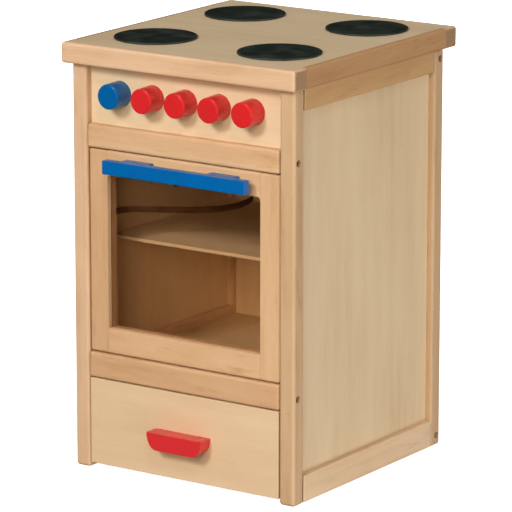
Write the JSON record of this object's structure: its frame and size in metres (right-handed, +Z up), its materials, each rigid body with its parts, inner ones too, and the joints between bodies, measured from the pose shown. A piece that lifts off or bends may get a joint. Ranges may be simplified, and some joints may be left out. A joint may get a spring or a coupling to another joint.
{
  "type": "toy kitchen",
  "caption": "Wooden play stove with round hobs, turning knobs, a drop-down oven door with a smoked window and a drawer below.",
  "frame": {"origin": "on the floor, in the middle of the overall width and depth", "axes": "+Z up, the front with the oven door and the drawer faces -Y, +X to the right when facing the back"},
  "size_m": [0.395, 0.429, 0.6229],
  "materials": {
    "solid_wood": "clear satin lacquer on maple",
    "plywood": "clear satin lacquer on birch plywood",
    "inner_wood": "unlacquered solid wood",
    "hob_black": "dark green-black satin paint on pressed board",
    "blue_paint": "blue satin paint on beech",
    "red_paint": "red satin paint on beech",
    "smoked_acrylic": "brown transparent acrylic",
    "steel": "zinc plated",
    "leather": "brown leather",
    "catch_plastic": "brown moulded plastic"
  },
  "bodies": {
    "cabinet": {"back_bottom_rail": "solid_wood", "back_panel": "plywood", "back_top_rail": "solid_wood", "control_panel": "plywood", "door_catch": "catch_plastic", "door_strap": "leather", "drawer_runner_left": "inner_wood", "drawer_runner_right": "inner_wood", "floor_rail_left": "inner_wood", "floor_rail_right": "inner_wood", "front_lower_rail": "solid_wood", "front_upper_rail": "solid_wood", "hinge_pin_left": "steel", "hinge_pin_right": "steel", "hob_back_left": "hob_black", "hob_back_right": "hob_black", "hob_front_left": "hob_black", "hob_front_right": "hob_black", "leg_back_left": "solid_wood", "leg_back_right": "solid_wood", "leg_front_left": "solid_wood", "leg_front_right": "solid_wood", "oven_floor": "plywood", "oven_shelf": "plywood", "side_bottom_rail_left": "solid_wood", "side_bottom_rail_right": "solid_wood", "side_panel_left": "plywood", "side_panel_right": "plywood", "side_top_rail_left": "solid_wood", "side_top_rail_right": "solid_wood", "worktop_back_strip": "solid_wood", "worktop_front_strip": "solid_wood", "worktop_left_strip": "solid_wood", "worktop_panel": "plywood", "worktop_right_strip": "solid_wood"},
    "door": {"catch_plate": "steel", "door_bottom_rail": "solid_wood", "door_handle_bar": "blue_paint", "door_handle_block_left": "blue_paint", "door_handle_block_right": "blue_paint", "door_stile_left": "solid_wood", "door_stile_right": "solid_wood", "door_top_rail": "solid_wood", "door_window": "smoked_acrylic"},
    "drawer": {"drawer_back": "inner_wood", "drawer_bottom": "plywood", "drawer_front": "plywood", "drawer_handle": "red_paint", "drawer_side_left": "inner_wood", "drawer_side_right": "inner_wood"},
    "knob_1": {"knob_1": "blue_paint", "knob_spindle_1": "inner_wood"},
    "knob_2": {"knob_2": "red_paint", "knob_spindle_2": "inner_wood"},
    "knob_3": {"knob_3": "red_paint", "knob_spindle_3": "inner_wood"},
    "knob_4": {"knob_4": "red_paint", "knob_spindle_4": "inner_wood"},
    "knob_5": {"knob_5": "red_paint", "knob_spindle_5": "inner_wood"}
  },
  "joints": [
    {"name": "door_hinge", "type": "hinge", "parent": "cabinet", "child": "door", "pos_m": [0, -0.182, 0.1805], "axis": [1, 0, 0], "range_deg": [0, 90], "deforming": ["door_strap"]},
    {"name": "drawer_slide", "type": "slide", "parent": "cabinet", "child": "drawer", "axis": [0, -1, 0], "range_m": [0, 0.25]},
    {"name": "knob_1_turn", "type": "hinge", "parent": "cabinet", "child": "knob_1", "pos_m": [-0.113, -0.1795, 0.5505], "axis": [0, -1, 0], "continuous": true},
    {"name": "knob_2_turn", "type": "hinge", "parent": "cabinet", "child": "knob_2", "pos_m": [-0.0565, -0.1795, 0.5505], "axis": [0, -1, 0], "continuous": true},
    {"name": "knob_3_turn", "type": "hinge", "parent": "cabinet", "child": "knob_3", "pos_m": [0, -0.1795, 0.5505], "axis": [0, -1, 0], "continuous": true},
    {"name": "knob_4_turn", "type": "hinge", "parent": "cabinet", "child": "knob_4", "pos_m": [0.0565, -0.1795, 0.5505], "axis": [0, -1, 0], "continuous": true},
    {"name": "knob_5_turn", "type": "hinge", "parent": "cabinet", "child": "knob_5", "pos_m": [0.113, -0.1795, 0.5505], "axis": [0, -1, 0], "continuous": true}
  ]
}
